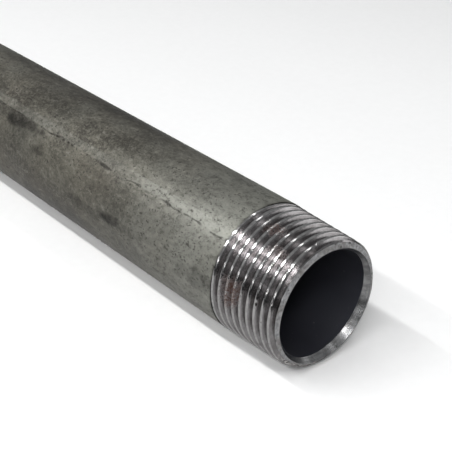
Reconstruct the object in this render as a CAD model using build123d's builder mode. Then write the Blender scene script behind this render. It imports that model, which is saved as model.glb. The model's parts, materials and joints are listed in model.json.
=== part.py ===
from build123d import *
import math
import os

# Threaded pipe nipple, 1 inch (DN 25): a welded steel pipe with a taper thread
# at each end, coated outside between the threads and dark-coated inside.
# Millimetres. The pipe's axis is X, +Z is up, and the origin is on the axis
# at mid-length. Both ends are the same, turned half a turn about Z.

# Driving dimensions
pipe_diameter = 33.7            # medium-series 1 inch pipe
wall_thickness = 3.2
nipple_length = 200.0
outer_coat_thickness = 0.1
bore_coat_thickness = 0.1

# Taper pipe thread R 1 (Whitworth form, 11 per inch, 1:16 on diameter)
threads_per_inch = 11
diameter_taper = 1 / 16
gauge_length = 10.4
gauge_diameter = 33.249         # over full crests, at the gauge plane
flank_angle = 27.5              # half of 55 degrees
cut_turns = 9                   # the first is outside the end face
runout_turns = 0.85
shoulder_distance = 20.5        # end face to the edge of the outer coating
groove_overshoot = 0.28         # how far the groove cutter reaches past the crests

# End preparation
outer_chamfer = 0.45
reamed_depth = 1.1              # axial length of the reamed bevel in the mouth
reamed_width = 0.75             # how much wider the mouth is than the bore

# The weld runs along the pipe, tilted from +Z towards -Y
seam_width = 2.8
seam_tilt = 39.0

# Sizes that follow
pitch = 25.4 / threads_per_inch
thread_depth = 0.640327 * pitch
radius_slope = diameter_taper / 2
taper_angle = math.degrees(math.atan(radius_slope))
half_length = nipple_length / 2
barrel_radius = pipe_diameter / 2
steel_radius = barrel_radius - outer_coat_thickness
bore_radius = barrel_radius - wall_thickness
steel_bore_radius = bore_radius + bore_coat_thickness
end_root_radius = gauge_diameter / 2 - gauge_length * radius_slope - thread_depth
end_crest_radius = steel_radius - shoulder_distance * radius_slope    # crests cut a little low
mouth_radius = bore_radius + reamed_width
shoulder = half_length - shoulder_distance
clearance = 1.0                 # how far a cutting profile runs past the surface it cuts
coat_end = half_length - reamed_depth * (mouth_radius - steel_bore_radius) / reamed_width


def groove_width(height):
    """Width of the thread groove at a height above its root."""
    return pitch / 2 + 2 * (height - thread_depth / 2) * math.tan(math.radians(flank_angle))


# The groove of one thread: it enters one pitch outside the end face, follows
# the taper for whole turns, then runs out through the pipe's surface.
entry = half_length + pitch
entry_root_radius = end_root_radius - pitch * radius_slope
cut_travel = cut_turns * pitch
runout_travel = runout_turns * pitch
runout_angle = math.degrees(math.atan(thread_depth / runout_travel))
inward = (-1, 0, 0)

full_turns = Helix(pitch, cut_travel, entry_root_radius, (entry, 0, 0), inward, taper_angle)
runout_radius = entry_root_radius + cut_travel * radius_slope
runout_centre = (entry - cut_travel, 0, 0)
runout_turn = Helix(pitch, runout_travel, runout_radius, runout_centre, inward, runout_angle)

# The two helices start at the same angle round the axis, so the run-out is
# turned to start where the full thread stops.
full_end = full_turns @ 1
runout_end = runout_turn @ 0
end_angle = math.degrees(math.atan2(full_end.Z, full_end.Y))
start_angle = math.degrees(math.atan2(runout_end.Z, runout_end.Y))
groove_path = Wire([full_turns, Rot(end_angle - start_angle, 0, 0) * runout_turn])

groove_start = groove_path @ 0
groove_plane = Plane(
    origin=groove_start,
    x_dir=(0, groove_start.Y, groove_start.Z),
    z_dir=groove_path % 0,
)
groove_top = thread_depth + groove_overshoot

with BuildPart() as thread_groove:
    with BuildSketch(groove_plane):
        with BuildLine():
            Polyline(
                (0, -groove_width(0) / 2),
                (groove_top, -groove_width(groove_top) / 2),
                (groove_top, groove_width(groove_top) / 2),
                (0, groove_width(0) / 2),
                close=True,
            )
        make_face()
    sweep(path=groove_path, is_frenet=True)

# The pipe as it is machined, before the weld is told apart from the rest of the
# wall. Each cutting profile runs past the surface that it cuts.
with BuildPart() as threaded_pipe:
    with BuildSketch(Plane.YZ):
        Circle(steel_radius)
    extrude(amount=half_length, both=True)
    add(thread_groove.part, mode=Mode.SUBTRACT)
    add(thread_groove.part, rotation=(0, 0, 180), mode=Mode.SUBTRACT)

    # both ends turned to the taper, over the crests
    with BuildSketch(Plane.XZ):
        with BuildLine():
            Polyline(
                (half_length + clearance, end_crest_radius - clearance * radius_slope),
                (shoulder - clearance, steel_radius + clearance * radius_slope),
                (shoulder - clearance, barrel_radius + clearance),
                (half_length + clearance, barrel_radius + clearance),
                close=True,
            )
        make_face()
        mirror(about=Plane.YZ)
    revolve(axis=Axis.X, mode=Mode.SUBTRACT)

    # outer edge of both end faces chamfered
    with BuildSketch(Plane.XZ):
        with BuildLine():
            Polyline(
                (half_length + clearance, end_crest_radius - outer_chamfer - clearance),
                (half_length - outer_chamfer - clearance, end_crest_radius + clearance),
                (half_length + clearance, end_crest_radius + clearance),
                close=True,
            )
        make_face()
        mirror(about=Plane.YZ)
    revolve(axis=Axis.X, mode=Mode.SUBTRACT)

    # bore, and the reamed bevel in both mouths
    with BuildSketch(Plane.XZ):
        with BuildLine():
            Polyline(
                (0, 0),
                (0, steel_bore_radius),
                (coat_end, steel_bore_radius),
                (half_length, mouth_radius),
                (half_length + clearance, mouth_radius + clearance * reamed_width / reamed_depth),
                (half_length + clearance, 0),
                close=True,
            )
        make_face()
        mirror(about=Plane.YZ)
    revolve(axis=Axis.X, mode=Mode.SUBTRACT)

# The strip of the wall that the weld fills, as a bar from the axis outwards.
seam_plane = Plane(
    origin=(-half_length, 0, 0),
    x_dir=(0, math.cos(math.radians(seam_tilt)), math.sin(math.radians(seam_tilt))),
    z_dir=(1, 0, 0),
)
with BuildPart() as seam_bar:
    with BuildSketch(seam_plane):
        Rectangle(seam_width, barrel_radius, align=(Align.CENTER, Align.MIN))
    extrude(amount=nipple_length)

with BuildPart() as pipe_wall:
    add(threaded_pipe.part)
    add(seam_bar.part, mode=Mode.SUBTRACT)

with BuildPart() as weld_seam:
    add(threaded_pipe.part)
    add(seam_bar.part, mode=Mode.INTERSECT)

# The coating outside, left on the barrel between the two threads.
with BuildPart() as outer_coating:
    with BuildSketch(Plane.YZ):
        Circle(barrel_radius)
        Circle(steel_radius, mode=Mode.SUBTRACT)
    extrude(amount=shoulder, both=True)

# The dark coating inside, cut back by the reamer at both mouths.
with BuildPart() as bore_coating:
    with BuildSketch(Plane.XZ):
        with BuildLine():
            Polyline(
                (0, bore_radius),
                (half_length - reamed_depth, bore_radius),
                (coat_end, steel_bore_radius),
                (0, steel_bore_radius),
                close=True,
            )
        make_face()
        mirror(about=Plane.YZ)
    revolve(axis=Axis.X)

pieces = {
    "pipe_wall": pipe_wall,
    "weld_seam": weld_seam,
    "outer_coating": outer_coating,
    "bore_coating": bore_coating,
}
os.makedirs("parts", exist_ok=True)
for name, piece in pieces.items():
    piece.part.label = name
    export_step(piece.part, f"parts/{name}.step")
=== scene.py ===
import json
import math

import bmesh
import bpy
import numpy as np
from mathutils import Euler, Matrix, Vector


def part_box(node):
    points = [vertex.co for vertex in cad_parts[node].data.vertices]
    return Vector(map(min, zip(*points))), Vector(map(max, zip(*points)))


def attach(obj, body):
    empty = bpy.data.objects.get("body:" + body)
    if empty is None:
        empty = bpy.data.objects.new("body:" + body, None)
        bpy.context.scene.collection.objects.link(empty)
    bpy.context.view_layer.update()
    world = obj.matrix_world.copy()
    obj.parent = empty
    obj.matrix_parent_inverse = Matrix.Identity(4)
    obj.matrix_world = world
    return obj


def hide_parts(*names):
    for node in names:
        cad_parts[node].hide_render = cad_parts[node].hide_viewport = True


# A threaded pipe nipple lying on a pale floor. Four pieces are drawn over the four CAD nodes: the
# threaded wall, the weld's strip, the barrel's coat and the bore's lining.
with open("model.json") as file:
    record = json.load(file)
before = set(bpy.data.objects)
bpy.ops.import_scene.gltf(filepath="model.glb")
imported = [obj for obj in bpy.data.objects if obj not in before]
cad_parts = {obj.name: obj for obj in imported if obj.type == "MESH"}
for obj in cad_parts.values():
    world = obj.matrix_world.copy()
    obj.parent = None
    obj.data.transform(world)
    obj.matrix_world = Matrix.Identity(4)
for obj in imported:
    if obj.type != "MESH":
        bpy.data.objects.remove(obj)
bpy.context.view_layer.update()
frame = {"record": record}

# ---------------------------------------------------------------- sizes
# Lengths are in millimetres until a mesh is made. Angles round the pipe, phi,
# run from +Z towards -Y. s is the distance from an end face, along the pipe.
MM = 0.001
mounts = {mount["name"]: mount for mount in frame["record"]["mounts"]}
HALF_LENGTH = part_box("pipe_wall")[1].x / MM
SHOULDER = HALF_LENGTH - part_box("outer_coating")[1].x / MM
COAT_X = HALF_LENGTH - SHOULDER
BARREL_R = mounts["barrel"]["dims"]["r_mm"]
BORE_R = mounts["bore"]["dims"]["r_mm"]
COAT = 0.1
STEEL_R = BARREL_R - COAT
STEEL_BORE_R = BORE_R + COAT
ROUND = 2 * math.pi * BARREL_R

# Taper thread R 1: 11 per inch, 55 degrees, 1:16 on the diameter
PITCH = 25.4 / 11
SLOPE = 1 / 32
DEPTH = 0.640327 * PITCH
FLANK = math.tan(math.radians(27.5))
ROOT_FLAT = PITCH / 2 - DEPTH * FLANK
GAUGE_LENGTH = 10.4
GAUGE_R = 33.249 / 2
END_ROOT_R = GAUGE_R - GAUGE_LENGTH * SLOPE - DEPTH
END_CREST_R = STEEL_R - SHOULDER * SLOPE
FULL_THREAD = 8.35 * PITCH
RUNOUT = 0.5 * PITCH

# Crests are rounded by CROWN per mm, up to CROWN_REACH from their middle
CROWN_REACH = 0.32
CROWN = 1.0
CREST_WAVE = 0.018
CORNER_BLEND = 0.12
NICK_COUNT = 90
NICK_WIDTH = 0.5
NICK_BLEND = 0.6

# Ends: chamfered outside, and reamed inside by a tool that stood off centre
OUTER_CHAMFER = 0.45
BEVEL_WIDTH = 0.75
BEVEL_SLOPE = BEVEL_WIDTH / 1.1
MOUTH_R = BORE_R + BEVEL_WIDTH
REAM_PHI = math.radians(-143)
REAM_OFFSET = 0.58
MOUTH_WAVE = 0.006
RIM_ROUGH = 0.04
BURR_PHI = math.radians(165)
BURR_ROUGH = 0.28
BURR_LOSS = 0.16
WORN_PHI = math.radians(-95)

# The weld's strip
SEAM_PHI = math.radians(39.0)
SEAM_WIDTH = 2.8
SEAM_EDGE = SEAM_WIDTH / 2
SEAM_HALF = SEAM_EDGE / BARREL_R


def off_angle(phi, centre):
    """Angle from centre to phi, from -pi to pi."""
    return (phi - centre + math.pi) % (2 * math.pi) - math.pi


def apart(phi, centre):
    """Distance in mm round the pipe from the angle centre."""
    return off_angle(phi, centre) * BARREL_R


# ---------------------------------------------------------------- noise
def cell_noise(around, along, size, seed):
    """Smooth noise from -1 to 1 in cells of size mm that closes on itself round the pipe.

    The table starts two half lengths behind the origin and ends three ahead of it.
    """
    count = max(3, int(round(ROUND / size)))
    a = np.asarray(around) / (2 * math.pi) * count
    b = (np.asarray(along) + 2 * HALF_LENGTH) / size
    length = int(5 * HALF_LENGTH / size) + 3
    table = np.random.default_rng(seed).random((count, length)) * 2 - 1
    a0 = np.floor(a).astype(int)
    b0 = np.floor(b).astype(int)
    fa = a - a0
    fb = b - b0
    fa = fa * fa * (3 - 2 * fa)
    fb = fb * fb * (3 - 2 * fb)
    low = table[a0 % count, b0] * (1 - fa) + table[(a0 + 1) % count, b0] * fa
    high = table[a0 % count, b0 + 1] * (1 - fa) + table[(a0 + 1) % count, b0 + 1] * fa
    return low * (1 - fb) + high * fb


def layered_noise(around, along, size, seed, layers=3):
    """Noise at size mm and finer, each layer half the size and half the strength."""
    total = 0
    for layer in range(layers):
        total = total + cell_noise(around, along, size / 2**layer, seed + layer) / 2**layer
    return total


def step(value, low, high):
    """0 below low, 1 above high, smooth between."""
    t = np.clip((value - low) / (high - low), 0, 1)
    return t * t * (3 - 2 * t)


def soft_min(a, b, blend):
    """The lesser of a and b, with the corner between them rounded over blend."""
    near = np.maximum(blend - np.abs(a - b), 0) / blend
    return np.minimum(a, b) - near * near * blend / 4


# ---------------------------------------------------------------- thread
def nicks(seed, count):
    """Places where a crest has been knocked: phi, s, half length round the pipe, depth."""
    rng = np.random.default_rng(seed)
    return [
        (
            rng.random() * 2 * math.pi,
            rng.random() * SHOULDER,
            0.25 + 0.7 * rng.random() ** 2,
            0.05 + 0.2 * rng.random() ** 2,
        )
        for _ in range(count)
    ]


def burr(phi):
    """Where the rim's outer edge is rough and torn, 0 to 1: underneath the pipe."""
    return 1 - step(np.abs(off_angle(phi, BURR_PHI)), math.radians(25), math.radians(55))


def worn_side(phi):
    """Where the rim's outer edge is worn further back, 0 to 1."""
    return 1 - step(np.abs(off_angle(phi, WORN_PHI)), math.radians(25), math.radians(70))


def mouth_radius(phi):
    """The bevel's outer edge. The reamer stood off centre, so it cut deeper on one side."""
    return MOUTH_R + REAM_OFFSET * np.cos(phi - REAM_PHI)


def bevel_depth(phi):
    """How far in the bevel reaches, to the inside of the steel."""
    return (mouth_radius(phi) - STEEL_BORE_R) / BEVEL_SLOPE


def thread_radius(s, phi, seed):
    """Outer radius of a threaded end at s and phi, and how far that is below the crest."""
    turn = s / PITCH + (phi - math.pi) / (2 * math.pi)
    nearest = np.round(turn)
    offset = np.abs(turn - nearest) * PITCH
    groove_s = s - (turn - nearest) * PITCH
    rise = np.clip((groove_s - FULL_THREAD) / RUNOUT, 0, 1.2) * DEPTH
    height = np.maximum(offset - ROOT_FLAT / 2, 0) / FLANK
    groove = END_ROOT_R + SLOPE * groove_s + rise + height
    from_crest = np.minimum(PITCH / 2 - offset, CROWN_REACH)
    crest = END_CREST_R + SLOPE * s + CREST_WAVE * layered_noise(phi, s, 6, seed) - CROWN * from_crest**2
    radius = soft_min(groove, crest, CORNER_BLEND)
    for nick_phi, nick_s, half, depth in nicks(seed + 50, NICK_COUNT):
        hit = np.exp(-((apart(phi, nick_phi) / half) ** 2) - ((s - nick_s) / NICK_WIDTH) ** 2)
        radius = np.minimum(radius, crest - depth * hit + NICK_BLEND * (1 - step(hit, 0.05, 0.4)))
    rough = RIM_ROUGH + BURR_ROUGH * burr(phi)
    chamfer = OUTER_CHAMFER * (1 + 0.7 * burr(phi) + 0.9 * worn_side(phi))
    edge = END_CREST_R - chamfer + s + rough * layered_noise(phi, s, 1.6, seed + 9)
    edge = edge - BURR_LOSS * burr(phi) * (1 + cell_noise(phi, s, 0.9, seed + 14))
    radius = soft_min(radius, edge, CORNER_BLEND)
    return radius, crest - radius


RUST = (
    # phi degrees, distance from the end face, half length round, half length along, strength
    (14, 13.5, 2.8, 3.6, 0.9),
    (29, 8, 2.2, 3.8, 1.0),
    (80, 15, 5.4, 4.6, 1.0),
    (-22, 6, 3.0, 4.0, 0.35),
    (130, 8, 4.0, 6.0, 0.5),
    (205, 10, 5.0, 5.0, 0.7),
    (275, 6, 3.5, 4.0, 0.6),
)


def patches(phi, along, places, ragged):
    """Blots at the places of a list, 0 to 1, with edges that ragged noise tears."""
    total = 0
    for degrees, middle, round_half, along_half, strength in places:
        round_share = apart(phi, math.radians(degrees)) / round_half
        reach = round_share**2 + ((along - middle) / along_half) ** 2
        total = total + strength * step(1.15 - reach + ragged, 0, 1.3)
    return total


def rust(x, phi):
    """Light rust on a threaded end, 0 to 1."""
    from_end = HALF_LENGTH - np.abs(x)
    return np.clip(patches(phi, from_end, RUST, 0.5 * cell_noise(phi, x, 4, 61)), 0, 1)


# Where rows of points stand. On one pitch of thread, from the middle of a groove, they crowd where
# the form turns. FACE goes from the rim to the mouth, and BEVEL from the mouth to the bore.
FORM = (0.0, 0.07, 0.11, 0.19, 0.27, 0.345, 0.385, 0.43, 0.5, 0.57, 0.615, 0.655, 0.73, 0.81, 0.89, 0.93)
FACE = (0.0, 0.08, 0.5, 0.92)
BEVEL = (0.0, 0.1, 0.35, 0.6, 0.85, 1.0)


def end_rows(phi, seed):
    """One end as rows of (s, radius, depth below crest, material), from the shoulder to the bore."""
    lead = (phi - math.pi) / (2 * math.pi)
    first = math.floor(lead.min()) - 1
    last = math.ceil(SHOULDER / PITCH + lead.max()) + 1
    rows = []
    for whole in range(last, first, -1):
        for part in reversed(FORM):
            s = np.clip(PITCH * (whole + part - lead), 0, SHOULDER)
            if np.all(s == 0) or np.all(s == SHOULDER):
                continue
            radius, depth = thread_radius(s, phi, seed)
            rows.append((s, radius, depth, 0))
    zero = np.zeros_like(phi)
    rim, depth = thread_radius(zero, phi, seed)
    mouth = mouth_radius(phi) + MOUTH_WAVE * layered_noise(phi, zero, 5, seed + 20)
    for share in FACE:
        rows.append((zero, rim + (mouth - rim) * share, zero, 1))
    for share in BEVEL:
        s = bevel_depth(phi) * share
        rows.append((s, mouth + (STEEL_BORE_R - mouth) * share, zero, 2))
    return rows


def face_material(one, other):
    """Material of the faces between rows of two kinds: 0 is thread, 1 end face and 2 bevel."""
    return max(one, other) if one and other else min(one, other)


def pipe_solid(name, phi_from, phi_to, columns, materials):
    """The steel between two angles: both threaded ends, closed across the cut sides."""
    phi = np.linspace(phi_from, phi_to, columns)
    loops = []
    plain = np.zeros_like(phi)
    for side, seed in ((1, 11), (-1, 31)):
        rows = end_rows(side * phi, seed)
        if side < 0:
            rows = rows[::-1]
        for s, r, depth, kind in rows:
            loops.append((side * (HALF_LENGTH - s), r, depth, kind))
    x = np.array([loop[0] + plain for loop in loops])
    r = np.array([loop[1] + plain for loop in loops])
    depth = np.array([loop[2] + plain for loop in loops])
    kinds = [loop[3] for loop in loops]
    points = np.stack([x, -r * np.sin(phi), r * np.cos(phi)], axis=-1)
    count = len(loops)
    faces = []
    slots = []
    for i in range(count):
        j = (i + 1) % count
        for k in range(columns - 1):
            faces.append((i * columns + k, i * columns + k + 1, j * columns + k + 1, j * columns + k))
            slots.append(face_material(kinds[i], kinds[j]))
    for k in (0, columns - 1):
        faces.append(tuple(i * columns + k for i in range(count)))
        slots.append(0)
    near_rim = step(np.abs(x), HALF_LENGTH - 1.8, HALF_LENGTH - 0.6)
    end_phi = np.sign(x) * phi
    # The torn rim underneath: a mask for the rough torn edge and for the painted shade that darkens the
    # downward-facing chamfer.
    torn_and_painted_shade = step(r, END_CREST_R - 1.5, END_CREST_R - 0.8) * near_rim * burr(end_phi)
    values = {"depth": depth.ravel(), "burr": torn_and_painted_shade.ravel(), "rust": rust(x, end_phi).ravel()}
    return make_piece(name, points.reshape(-1, 3), faces, slots, materials, values)


# ---------------------------------------------------------------- meshes
SHARP_ANGLE = math.radians(32)


def make_piece(name, points, faces, slots, materials, attributes):
    """A closed mesh from points in mm: doubled points joined, faces outward, corners kept crisp."""
    mesh = bpy.data.meshes.new(name)
    mesh.from_pydata((points * MM).tolist(), [], faces)
    for material in materials:
        mesh.materials.append(material)
    mesh.polygons.foreach_set("material_index", slots)
    for key, values in attributes.items():
        layer = mesh.attributes.new(key, "FLOAT", "POINT")
        layer.data.foreach_set("value", np.asarray(values, np.float32))
    work = bmesh.new()
    work.from_mesh(mesh)
    bmesh.ops.remove_doubles(work, verts=work.verts, dist=0.002 * MM)
    bmesh.ops.dissolve_degenerate(work, edges=work.edges, dist=0.001 * MM)
    bmesh.ops.recalc_face_normals(work, faces=work.faces)
    work.to_mesh(mesh)
    work.free()
    mesh.shade_smooth()
    mesh.set_sharp_from_angle(angle=SHARP_ANGLE)
    piece = bpy.data.objects.new(name, mesh)
    bpy.context.scene.collection.objects.link(piece)
    return piece


def sleeve(name, outer, inner, ends, columns, rows, material, attributes):
    """A closed tube whose outer and inner skins are functions of (x, phi)."""
    phi = np.asarray(columns)
    columns = len(phi)
    loops = []
    for share in rows:
        x = ends[0](phi) * (1 - share) + ends[1](phi) * share
        loops.append((x, outer(x, phi)))
    for share in (1.0, 0.75, 0.5, 0.25, 0.0):
        x = ends[0](phi) * (1 - share) + ends[1](phi) * share
        loops.append((x, inner(x, phi)))
    x = np.array([loop[0] for loop in loops])
    r = np.array([loop[1] for loop in loops])
    points = np.stack([x, -r * np.sin(phi), r * np.cos(phi)], axis=-1)
    count = len(loops)
    faces = []
    for i in range(count):
        j = (i + 1) % count
        for k in range(columns):
            m = (k + 1) % columns
            faces.append((i * columns + k, i * columns + m, j * columns + m, j * columns + k))
    values = {key: make(x, phi + 0 * x).ravel() for key, make in attributes.items()}
    return make_piece(name, points.reshape(-1, 3), faces, [0] * len(faces), [material], values)


# ---------------------------------------------------------------- camera, lights and floor
# Lights and sheets are in metres and watts. The camera's offset from the mouth is in pipe radii.
MOUTH = Vector((HALF_LENGTH, 0, 0)) * MM
LIT_POINT = MOUTH * 0.6
CAMERA_OFFSET = Vector((8.3158, -8.7705, 8.2952)) * BARREL_R * MM
CAMERA_AZIMUTH = math.radians(49.80)
CAMERA_ELEVATION = math.radians(30.45)
FIELD = math.radians(23.40652)


TUBE_DISTANCE = 0.7
TUBE_START = -0.50
TUBES = (
    # degrees round the pipe, width, power, how far along +X
    (26, 0.030, 3.5, 0.58),
    (43, 0.026, 2.0, 0.45),
    (72, 0.018, 0.30, 0.58),
    (-14, 0.04, 0.55, 0.45),
)
BOXES = (
    # name, direction, distance, size, power, mirrored
    ("top_box", (0.50, -0.32, 0.74), 0.9, (0.08, 0.08), 0.8, False),
    ("front_fill", (0.57, -0.60, 0.57), 0.9, (0.20, 0.20), 1.6, False),
    ("bevel_glint", (0.538, -0.342, 0.776), 0.9, (0.035, 0.035), 0.042, True),
    ("low_window", (0.985, 0.10, 0.06), 1.0, (0.05, 0.10), 0.22, True),
    ("side_panel", (0.50, 0.84, 0.16), 0.6, (0.40, 0.25), 0.32, True),
)

# The floor is seen, and the darker card just above it is only mirrored in the steel
FLOOR_RANGE = (-4, 4)
FLOOR_SHADES = (0.90, 0.94)
CARD_X = (-0.30, 0.165)
CARD_Y = (-0.25, 0.25)
CARD_LIFT = 0.0004
CARD_SHADES = (0.34, 0.38)


def make_camera():
    """The photo's point of view."""
    camera = bpy.data.cameras.new("photo_camera")
    camera.sensor_width = 36
    camera.angle = FIELD
    camera.clip_start = 0.01
    obj = bpy.data.objects.new("photo_camera", camera)
    obj.location = MOUTH + CAMERA_OFFSET
    obj.rotation_euler = Euler((math.pi / 2 - CAMERA_ELEVATION, 0, CAMERA_AZIMUTH))
    bpy.context.scene.collection.objects.link(obj)
    bpy.context.scene.camera = obj


def area_light(name, direction, distance, size, power, mirrored):
    """A rectangular light that faces the threaded half of the pipe. One not mirrored has no reflection."""
    light = bpy.data.lights.new(name, "AREA")
    light.shape = "RECTANGLE"
    light.size = size[0]
    light.size_y = size[1]
    light.energy = power
    obj = bpy.data.objects.new(name, light)
    aim = Vector(direction).normalized()
    obj.location = LIT_POINT + aim * distance
    obj.rotation_euler = aim.to_track_quat("Z", "Y").to_euler()
    obj.visible_camera = False
    obj.visible_glossy = mirrored
    bpy.context.scene.collection.objects.link(obj)


def tube_light(name, phi, distance, x_range, width, power):
    """A long narrow light beside the pipe and parallel to it, at angle phi."""
    light = bpy.data.lights.new(name, "AREA")
    light.shape = "RECTANGLE"
    light.size = x_range[1] - x_range[0]
    light.size_y = width
    light.energy = power
    obj = bpy.data.objects.new(name, light)
    obj.location = ((x_range[0] + x_range[1]) / 2, -distance * math.sin(phi), distance * math.cos(phi))
    obj.rotation_euler = (phi, 0, 0)
    obj.visible_camera = False
    bpy.context.scene.collection.objects.link(obj)


def make_world(low, high):
    """Even light from above, strength high, that fades to low at the horizon. The camera sees it pale."""
    world = bpy.data.worlds.new("studio")
    world.use_nodes = True
    tree = world.node_tree
    place = tree.nodes.new("ShaderNodeTexCoord").outputs["Generated"]
    split = tree.nodes.new("ShaderNodeSeparateXYZ")
    tree.links.new(place, split.inputs[0])
    fade = tree.nodes.new("ShaderNodeMapRange")
    for key, number in (("From Min", 0.0), ("From Max", 0.25), ("To Min", low), ("To Max", high)):
        fade.inputs[key].default_value = number
    tree.links.new(split.outputs["Z"], fade.inputs["Value"])
    backdrop = tree.nodes.new("ShaderNodeMath")
    backdrop.operation = "MAXIMUM"
    tree.links.new(fade.outputs["Result"], backdrop.inputs[0])
    tree.links.new(tree.nodes.new("ShaderNodeLightPath").outputs["Is Camera Ray"], backdrop.inputs[1])
    shade = tree.nodes["Background"]
    shade.inputs["Color"].default_value = (0.97, 0.99, 1, 1)
    tree.links.new(backdrop.outputs[0], shade.inputs["Strength"])
    bpy.context.scene.world = world


def make_sheet(name, x_range, y_range, lift, shades, seen_by_camera, mirrored):
    """A flat sheet of paper, lift metres above the pipe's lowest level."""
    level = lift - BARREL_R * MM
    corners = [(x_range[i], y_range[j], level) for i, j in ((0, 0), (1, 0), (1, 1), (0, 1))]
    mesh = bpy.data.meshes.new(name)
    mesh.from_pydata(corners, [], [(0, 1, 2, 3)])
    paper = Nodes(name)
    paper.shader.inputs["Roughness"].default_value = 0.9
    dark, light = ((shade, shade, shade) for shade in shades)
    paper.link(paper.mix(paper.noise(400, detail=3), dark, light), "Base Color")
    mesh.materials.append(paper.material)
    sheet = bpy.data.objects.new(name, mesh)
    sheet.visible_camera = seen_by_camera
    sheet.visible_diffuse = seen_by_camera
    sheet.visible_shadow = seen_by_camera
    sheet.visible_glossy = mirrored
    bpy.context.scene.collection.objects.link(sheet)


# ---------------------------------------------------------------- materials
class Nodes:
    """A new material, with short names for the nodes that its finish is made of."""

    def __init__(self, name):
        self.material = bpy.data.materials.new(name)
        self.material.use_nodes = True
        self.tree = self.material.node_tree
        self.shader = self.tree.nodes["Principled BSDF"]
        self.place = self.tree.nodes.new("ShaderNodeTexCoord").outputs["Object"]

    def put(self, socket, value):
        """A link, a number or a colour into a socket."""
        if isinstance(value, bpy.types.NodeSocket):
            self.tree.links.new(value, socket)
        elif isinstance(value, tuple) and len(value) == 3 and socket.type == "RGBA":
            socket.default_value = (*value, 1)
        else:
            socket.default_value = value

    def link(self, value, name):
        self.tree.links.new(value, self.shader.inputs[name])

    def noise(self, scale, detail=4, roughness=0.55, stretch=(1, 1, 1), shift=0.0):
        """Noise from about 0.25 to 0.75, with features about 1 / scale metres across."""
        mapping = self.tree.nodes.new("ShaderNodeMapping")
        self.put(mapping.inputs["Vector"], self.place)
        mapping.inputs["Location"].default_value = (shift, shift * 0.7, shift * 0.3)
        mapping.inputs["Scale"].default_value = stretch
        node = self.tree.nodes.new("ShaderNodeTexNoise")
        self.put(node.inputs["Vector"], mapping.outputs["Vector"])
        node.inputs["Scale"].default_value = scale
        node.inputs["Detail"].default_value = detail
        node.inputs["Roughness"].default_value = roughness
        return node.outputs["Fac"]

    def attribute(self, name):
        node = self.tree.nodes.new("ShaderNodeAttribute")
        node.attribute_name = name
        return node.outputs["Fac"]

    def span(self, value, low, high, out_low=0.0, out_high=1.0):
        """value from low to high becomes out_low to out_high, smooth and clamped."""
        node = self.tree.nodes.new("ShaderNodeMapRange")
        node.interpolation_type = "SMOOTHSTEP"
        self.put(node.inputs["Value"], value)
        for key, number in (("From Min", low), ("From Max", high), ("To Min", out_low), ("To Max", out_high)):
            node.inputs[key].default_value = number
        return node.outputs["Result"]

    def combine(self, operation, a, b):
        """One arithmetic operation on two numbers or links."""
        node = self.tree.nodes.new("ShaderNodeMath")
        node.operation = operation
        self.put(node.inputs[0], a)
        self.put(node.inputs[1], b)
        return node.outputs[0]

    def mix(self, factor, a, b):
        """Colour a where factor is 0, colour b where it is 1. A Mix node's colours are sockets 6 and 7."""
        node = self.tree.nodes.new("ShaderNodeMix")
        node.data_type = "RGBA"
        self.put(node.inputs[0], factor)
        self.put(node.inputs[6], a)
        self.put(node.inputs[7], b)
        return node.outputs[2]

    def bump(self, height, depth):
        """Small relief, depth metres high, on top of any bump already there."""
        node = self.tree.nodes.new("ShaderNodeBump")
        node.inputs["Distance"].default_value = depth
        node.inputs["Strength"].default_value = 1.0
        self.put(node.inputs["Height"], height)
        normal = self.shader.inputs["Normal"]
        if normal.is_linked:
            self.put(node.inputs["Normal"], normal.links[0].from_socket)
        self.link(node.outputs["Normal"], "Normal")


def zinc_coating():
    """Dull, mottled grey coat: dark specks, handling smudges and the weld's strip."""
    m = Nodes("zinc_coat")
    mottle = m.noise(70, detail=6, roughness=0.65, stretch=(0.6, 1, 1))
    grain = m.noise(1300, detail=4, roughness=0.75)
    specks = m.noise(1500, detail=2, roughness=0.6, shift=3.1)
    flecks = m.noise(900, detail=3, roughness=0.7, stretch=(0.6, 1, 1), shift=7.7)
    tint = m.noise(40, detail=3, shift=1.9)
    cloud = m.noise(22, detail=5, roughness=0.6, stretch=(0.7, 1, 1), shift=4.4)
    patchy = m.noise(620, detail=5, roughness=0.8, stretch=(0.7, 1, 1), shift=5.2)
    colour = m.mix(m.span(mottle, 0.38, 0.62), (0.070, 0.065, 0.053), (0.168, 0.160, 0.130))
    colour = m.mix(m.span(cloud, 0.42, 0.62, 0, 0.55), colour, (0.060, 0.055, 0.048))
    colour = m.mix(m.span(tint, 0.45, 0.65, 0, 0.5), colour, (0.112, 0.097, 0.078))
    colour = m.mix(m.span(grain, 0.42, 0.64, 0, 0.45), colour, (0.265, 0.255, 0.210))
    # Painted light: the coat is lighter along the weld's strip, where the highlight falls, and towards the
    # threads.
    colour = m.mix(m.attribute("pale"), colour, (0.30, 0.305, 0.272))
    colour = m.mix(m.span(patchy, 0.36, 0.52, 0.55, 0), colour, (0.064, 0.060, 0.050))
    colour = m.mix(m.span(patchy, 0.54, 0.68, 0, 0.40), colour, (0.38, 0.37, 0.32))
    colour = m.mix(m.span(specks, 0.60, 0.67, 0, 0.80), colour, (0.045, 0.042, 0.036))
    colour = m.mix(m.span(flecks, 0.60, 0.68, 0, 0.75), colour, (0.050, 0.046, 0.040))
    smear = m.combine("MULTIPLY", m.attribute("smudge"), m.span(patchy, 0.38, 0.58, 1.15, 0.80))
    colour = m.mix(smear, colour, (0.026, 0.024, 0.021))
    m.link(colour, "Base Color")
    m.shader.inputs["Metallic"].default_value = 0.6
    rough = m.span(m.combine("ADD", mottle, m.combine("MULTIPLY", grain, 0.5)), 0.55, 0.95, 0.32, 0.50)
    m.link(rough, "Roughness")
    m.bump(grain, 0.00005)
    m.bump(mottle, 0.00020)
    m.bump(m.combine("MULTIPLY", m.span(specks, 0.60, 0.66), -1.0), 0.00003)
    return m.material


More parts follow.
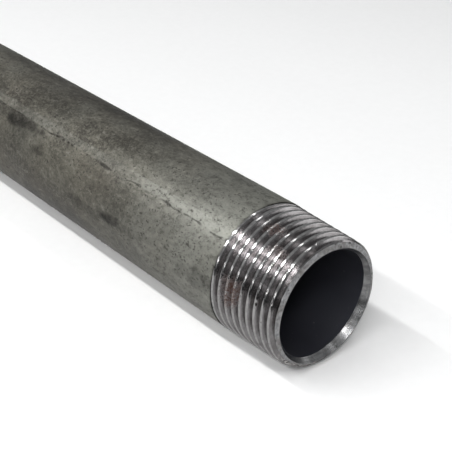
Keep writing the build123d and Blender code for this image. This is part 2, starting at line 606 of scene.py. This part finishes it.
def cut_steel(name):
    """Thread-cut steel: thin bright crests, painted shade at the roots of the grooves, a torn rim painted
    near black underneath as painted shade, and patches of rust.
    """
    m = Nodes(name)
    depth = m.attribute("depth")
    grit = m.noise(1400, detail=4, roughness=0.7)
    blotch = m.noise(260, detail=4, roughness=0.6, shift=2.0)
    wave = m.combine("ADD", m.combine("MULTIPLY", depth, 42.0), m.combine("MULTIPLY", blotch, 9.0))
    streaks = m.combine("SINE", wave, 0.0)
    flank = m.mix(m.span(blotch, 0.35, 0.65), (0.30, 0.285, 0.285), (0.47, 0.455, 0.46))
    flank = m.mix(m.span(streaks, -1, 1, 0, 0.35), flank, (0.20, 0.19, 0.19))
    crest = m.mix(m.span(grit, 0.38, 0.62), (0.55, 0.54, 0.54), (0.72, 0.71, 0.70))
    worn = m.span(m.combine("ADD", depth, m.combine("MULTIPLY", blotch, 0.12)), 0.09, 0.17, 1.0, 0.0)
    colour = m.mix(worn, flank, crest)
    # Painted shade: the deepest part of each groove, near its root, is painted near black.
    colour = m.mix(m.span(depth, 0.95, 1.30, 0, 0.85), colour, (0.030, 0.027, 0.026))
    # Painted shade: the torn rim underneath is painted near black, with light chips of torn steel.
    torn_and_painted_shade = m.combine("MULTIPLY", m.attribute("burr"), m.span(blotch, 0.42, 0.56, 0.25, 1.0))
    chips = m.span(m.noise(1300, detail=3, roughness=0.7, shift=8.0), 0.48, 0.54)
    colour = m.mix(torn_and_painted_shade, colour, m.mix(chips, (0.020, 0.018, 0.017), (0.70, 0.68, 0.66)))
    speckle = m.noise(1700, detail=4, roughness=0.8, shift=6.0)
    rusted = m.attribute("rust")
    tear = m.combine("MULTIPLY", m.combine("ADD", speckle, -0.5), 5.0)
    ragged = m.combine("ADD", rusted, tear)
    rust = m.combine("MULTIPLY", rusted, m.span(ragged, 0.35, 1.25, 0.12, 0.95))
    colour = m.mix(rust, colour, (0.072, 0.029, 0.018))
    m.link(colour, "Base Color")
    bare = m.span(rust, 0.1, 0.8, 1.0, 0.5)
    m.link(m.combine("SUBTRACT", bare, m.combine("MULTIPLY", torn_and_painted_shade, 0.45)), "Metallic")
    scuff = m.combine("ADD", m.combine("MULTIPLY", worn, -0.06), m.combine("MULTIPLY", rust, 0.30))
    m.link(m.combine("ADD", scuff, m.span(grit, 0.35, 0.65, 0.15, 0.24)), "Roughness")
    m.bump(streaks, 0.0000015)
    m.bump(grit, 0.000006)
    m.bump(m.combine("MULTIPLY", rust, grit), 0.00005)
    return m.material


def sawn_face():
    """The end face: sawn steel, pitted and speckled."""
    m = Nodes("face_steel")
    grit = m.noise(1100, detail=5, roughness=0.75)
    pits = m.noise(700, detail=2, shift=4.0)
    stain = m.noise(160, detail=4, shift=1.0)
    colour = m.mix(m.span(grit, 0.36, 0.64), (0.26, 0.26, 0.265), (0.60, 0.60, 0.61))
    colour = m.mix(m.span(stain, 0.48, 0.66, 0, 0.6), colour, (0.16, 0.135, 0.11))
    colour = m.mix(m.span(pits, 0.62, 0.70, 0, 0.85), colour, (0.035, 0.032, 0.03))
    # Painted shade: the torn rim underneath is painted near black on the end face too.
    torn_and_painted_shade = m.combine("MULTIPLY", m.attribute("burr"), m.span(grit, 0.40, 0.55, 0.2, 1.0))
    colour = m.mix(torn_and_painted_shade, colour, (0.020, 0.018, 0.017))
    m.link(colour, "Base Color")
    m.shader.inputs["Metallic"].default_value = 0.7
    m.link(m.span(grit, 0.35, 0.65, 0.34, 0.6), "Roughness")
    m.bump(grit, 0.00006)
    m.bump(m.combine("MULTIPLY", m.span(pits, 0.60, 0.72), -1.0), 0.00010)
    return m.material


def reamed_steel():
    """The bevel in the mouth: bright, with the reamer's rings and streaks of chatter across them."""
    m = Nodes("bevel_steel")
    rings = m.noise(3000, detail=2, stretch=(1, 0.02, 0.02))
    chatter = m.noise(600, detail=3, roughness=0.6, stretch=(0.03, 1, 1), shift=3.0)
    pits = m.noise(500, detail=2, shift=5.0)
    colour = m.mix(m.span(rings, 0.35, 0.65), (0.40, 0.40, 0.405), (0.54, 0.54, 0.545))
    colour = m.mix(m.span(chatter, 0.36, 0.62, 0.60, 0), colour, (0.17, 0.17, 0.17))
    colour = m.mix(m.span(pits, 0.68, 0.73, 0, 0.8), colour, (0.06, 0.055, 0.05))
    m.link(colour, "Base Color")
    m.shader.inputs["Metallic"].default_value = 1.0
    m.shader.inputs["Roughness"].default_value = 0.25
    m.bump(rings, 0.000002)
    return m.material


def bore_coating():
    """Smooth blue-black coat inside, with faint runs and dust."""
    m = Nodes("dark_coat")
    cloud = m.noise(70, detail=4, stretch=(0.35, 1, 1))
    fine = m.noise(900, detail=4, roughness=0.65)
    dust = m.noise(1800, detail=1, shift=9.0)
    colour = m.mix(m.span(cloud, 0.35, 0.65), (0.0185, 0.0190, 0.0250), (0.0250, 0.0258, 0.0330))
    colour = m.mix(m.span(dust, 0.77, 0.82, 0, 0.6), colour, (0.30, 0.30, 0.30))
    m.link(colour, "Base Color")
    m.shader.inputs["Metallic"].default_value = 0.0
    m.link(m.span(cloud, 0.35, 0.65, 0.45, 0.60), "Roughness")
    m.bump(cloud, 0.00010)
    m.bump(fine, 0.00001)
    return m.material


# ---------------------------------------------------------------- coatings
COAT_WAVE = 0.010
COAT_RAGGED = 0.08
WELD_FLAT = 0.030
WELD_GROOVE = 0.045
SHOULDER_DROP = 0.05
LINING_WAVE = 0.02
BLOTCHES = (
    # phi degrees, x mm, half length round, half length along, strength
    (50, -9, 1.9, 14, 0.85),
    (53, -40, 1.8, 12, 0.5),
    (66, 5, 1.0, 5, 0.5),
    (88, 27, 1.6, 9, 0.45),
    (83, 41, 1.7, 9, 1.0),
    (80, 56, 1.2, 4, 0.35),
    (35, 52, 0.35, 0.5, 0.8),
    (85, 74, 2.6, 6, 0.45),
    (-22, 20, 5, 30, 0.35),
    (-14, 2, 1.2, 3, 0.35),
    (118, 10, 4, 22, 0.35),
    (150, -20, 6, 18, 0.45),
    (215, 35, 5, 14, 0.4),
    (270, -30, 7, 20, 0.4),
    (310, 52, 3, 9, 0.5),
)


def smudge(x, phi):
    """Dark smudges with ragged edges, broken lines along the weld, and darker colour along the coat's edge at
    the shoulders.
    """
    total = 0.12 * step(layered_noise(phi, x, 22, 5), 0.2, 1.2)
    total = total + patches(phi, x, BLOTCHES, 0.8 * layered_noise(phi, x, 4, 6, 4))
    wander = 0.28 * layered_noise(0 * phi, x, 5, 71)
    thick = 0.34 + 0.22 * layered_noise(0 * phi, x, 3, 74)
    line = step(thick - np.abs(apart(phi, SEAM_PHI + SEAM_HALF) + wander), 0, 0.30)
    broken = step(cell_noise(phi, x, 4, 8) + 0.9 * cell_noise(phi, x, 1.0, 9), -0.7, 0.7)
    faint = 0.35 * step(0.28 - np.abs(apart(phi, SEAM_PHI - SEAM_HALF)), 0, 0.2)
    end = COAT_X - np.abs(x)
    # Darker towards the coat's edge at each shoulder.
    total = total + 0.6 * step(0.7 - end, 0, 0.5)
    total = total + line * broken + faint * step(cell_noise(phi, x, 7, 10), -0.3, 0.6)
    return np.clip(total, 0, 0.9)


def pale(x, phi):
    """Where the coat is painted lighter: a painted highlight along the weld's strip, painted light towards
    the threads, and a little random tone.
    """
    strip = step(SEAM_EDGE - np.abs(apart(phi, SEAM_PHI)), -0.2, 0.5)
    strip = strip * (0.6 + 0.4 * layered_noise(phi, x, 8, 17))
    near = step(np.abs(x), 22, COAT_X)
    return np.clip(0.36 * strip + 0.66 * near + 0.12 * layered_noise(phi, x, 9, 15), 0, 0.85)


def coat_surface(x, phi):
    """The coat's outside: slightly uneven, flat and lower on the weld, grooved at its edge."""
    uneven = COAT_WAVE * (layered_noise(phi, x, 14, 21) - 1.2)
    strip = apart(phi, SEAM_PHI)
    flat = -WELD_FLAT * step(SEAM_EDGE - np.abs(strip), 0, 0.4)
    groove = -WELD_GROOVE * np.exp(-(((strip - SEAM_EDGE) / 0.22) ** 2))
    end = COAT_X - np.abs(x)
    edge = -SHOULDER_DROP * step(0.8 - end, 0, 0.8)
    return BARREL_R + uneven + flat + groove + edge


def coat_columns():
    """Angles round the coat, close together where the weld's edges are."""
    even = np.linspace(0, 2 * math.pi, 236, endpoint=False)
    close = np.linspace(-0.55, 0.55, 9) / BARREL_R
    edges = [SEAM_PHI + side * SEAM_HALF + close for side in (-1, 1)]
    return np.unique(np.round(np.concatenate([even, *edges]), 5))


def coat_end(side, seed):
    """The coat's ragged edge at a shoulder."""
    return lambda phi: side * (COAT_X - COAT_RAGGED * (1 + layered_noise(phi, 0 * phi, 3, seed)))


def lining_surface(x, phi):
    """The lining's inside, slightly uneven."""
    return BORE_R + LINING_WAVE * layered_noise(phi, x, 12, 41)


# ---------------------------------------------------------------- the scene
bpy.context.scene.view_settings.view_transform = "Standard"
make_camera()
make_world(low=0.02, high=0.22)
make_sheet("floor", FLOOR_RANGE, FLOOR_RANGE, 0.0, FLOOR_SHADES, True, False)
make_sheet("mirrored_card", CARD_X, CARD_Y, CARD_LIFT, CARD_SHADES, False, True)
for degrees, width, power, reach in TUBES:
    tube_light(f"tube_{degrees}", math.radians(degrees), TUBE_DISTANCE, (TUBE_START, reach), width, power)
for name, direction, distance, size, power, mirrored in BOXES:
    area_light(name, direction, distance, size, power, mirrored)

# ---------------------------------------------------------------- pieces
WALL_COLUMNS = 281
SEAM_COLUMNS = 9
COAT_ROWS = 315
LINING_COLUMNS = 180
LINING_ROWS = 60

face = sawn_face()
bevel = reamed_steel()
wall = pipe_solid(
    "threaded_pipe_wall",
    SEAM_PHI + SEAM_HALF,
    SEAM_PHI - SEAM_HALF + 2 * math.pi,
    WALL_COLUMNS,
    [cut_steel("cut_steel"), face, bevel],
)
seam = pipe_solid(
    "weld_strip",
    SEAM_PHI - SEAM_HALF,
    SEAM_PHI + SEAM_HALF,
    SEAM_COLUMNS,
    [cut_steel("weld_steel"), face, bevel],
)
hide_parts("pipe_wall")
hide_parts("weld_seam")

coat = sleeve(
    "barrel_coat",
    coat_surface,
    lambda x, phi: STEEL_R + 0 * x,
    (coat_end(-1, 51), coat_end(1, 52)),
    coat_columns(),
    np.linspace(0, 1, COAT_ROWS),
    zinc_coating(),
    {"smudge": smudge, "pale": pale},
)
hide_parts("outer_coating")

lining = sleeve(
    "bore_lining",
    lambda x, phi: STEEL_BORE_R + 0 * x,
    lining_surface,
    (lambda phi: bevel_depth(-phi) - HALF_LENGTH, lambda phi: HALF_LENGTH - bevel_depth(phi)),
    np.linspace(0, 2 * math.pi, LINING_COLUMNS, endpoint=False),
    np.linspace(0, 1, LINING_ROWS),
    bore_coating(),
    {},
)
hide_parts("bore_coating")

for piece in (wall, seam, coat, lining):
    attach(piece, "root")
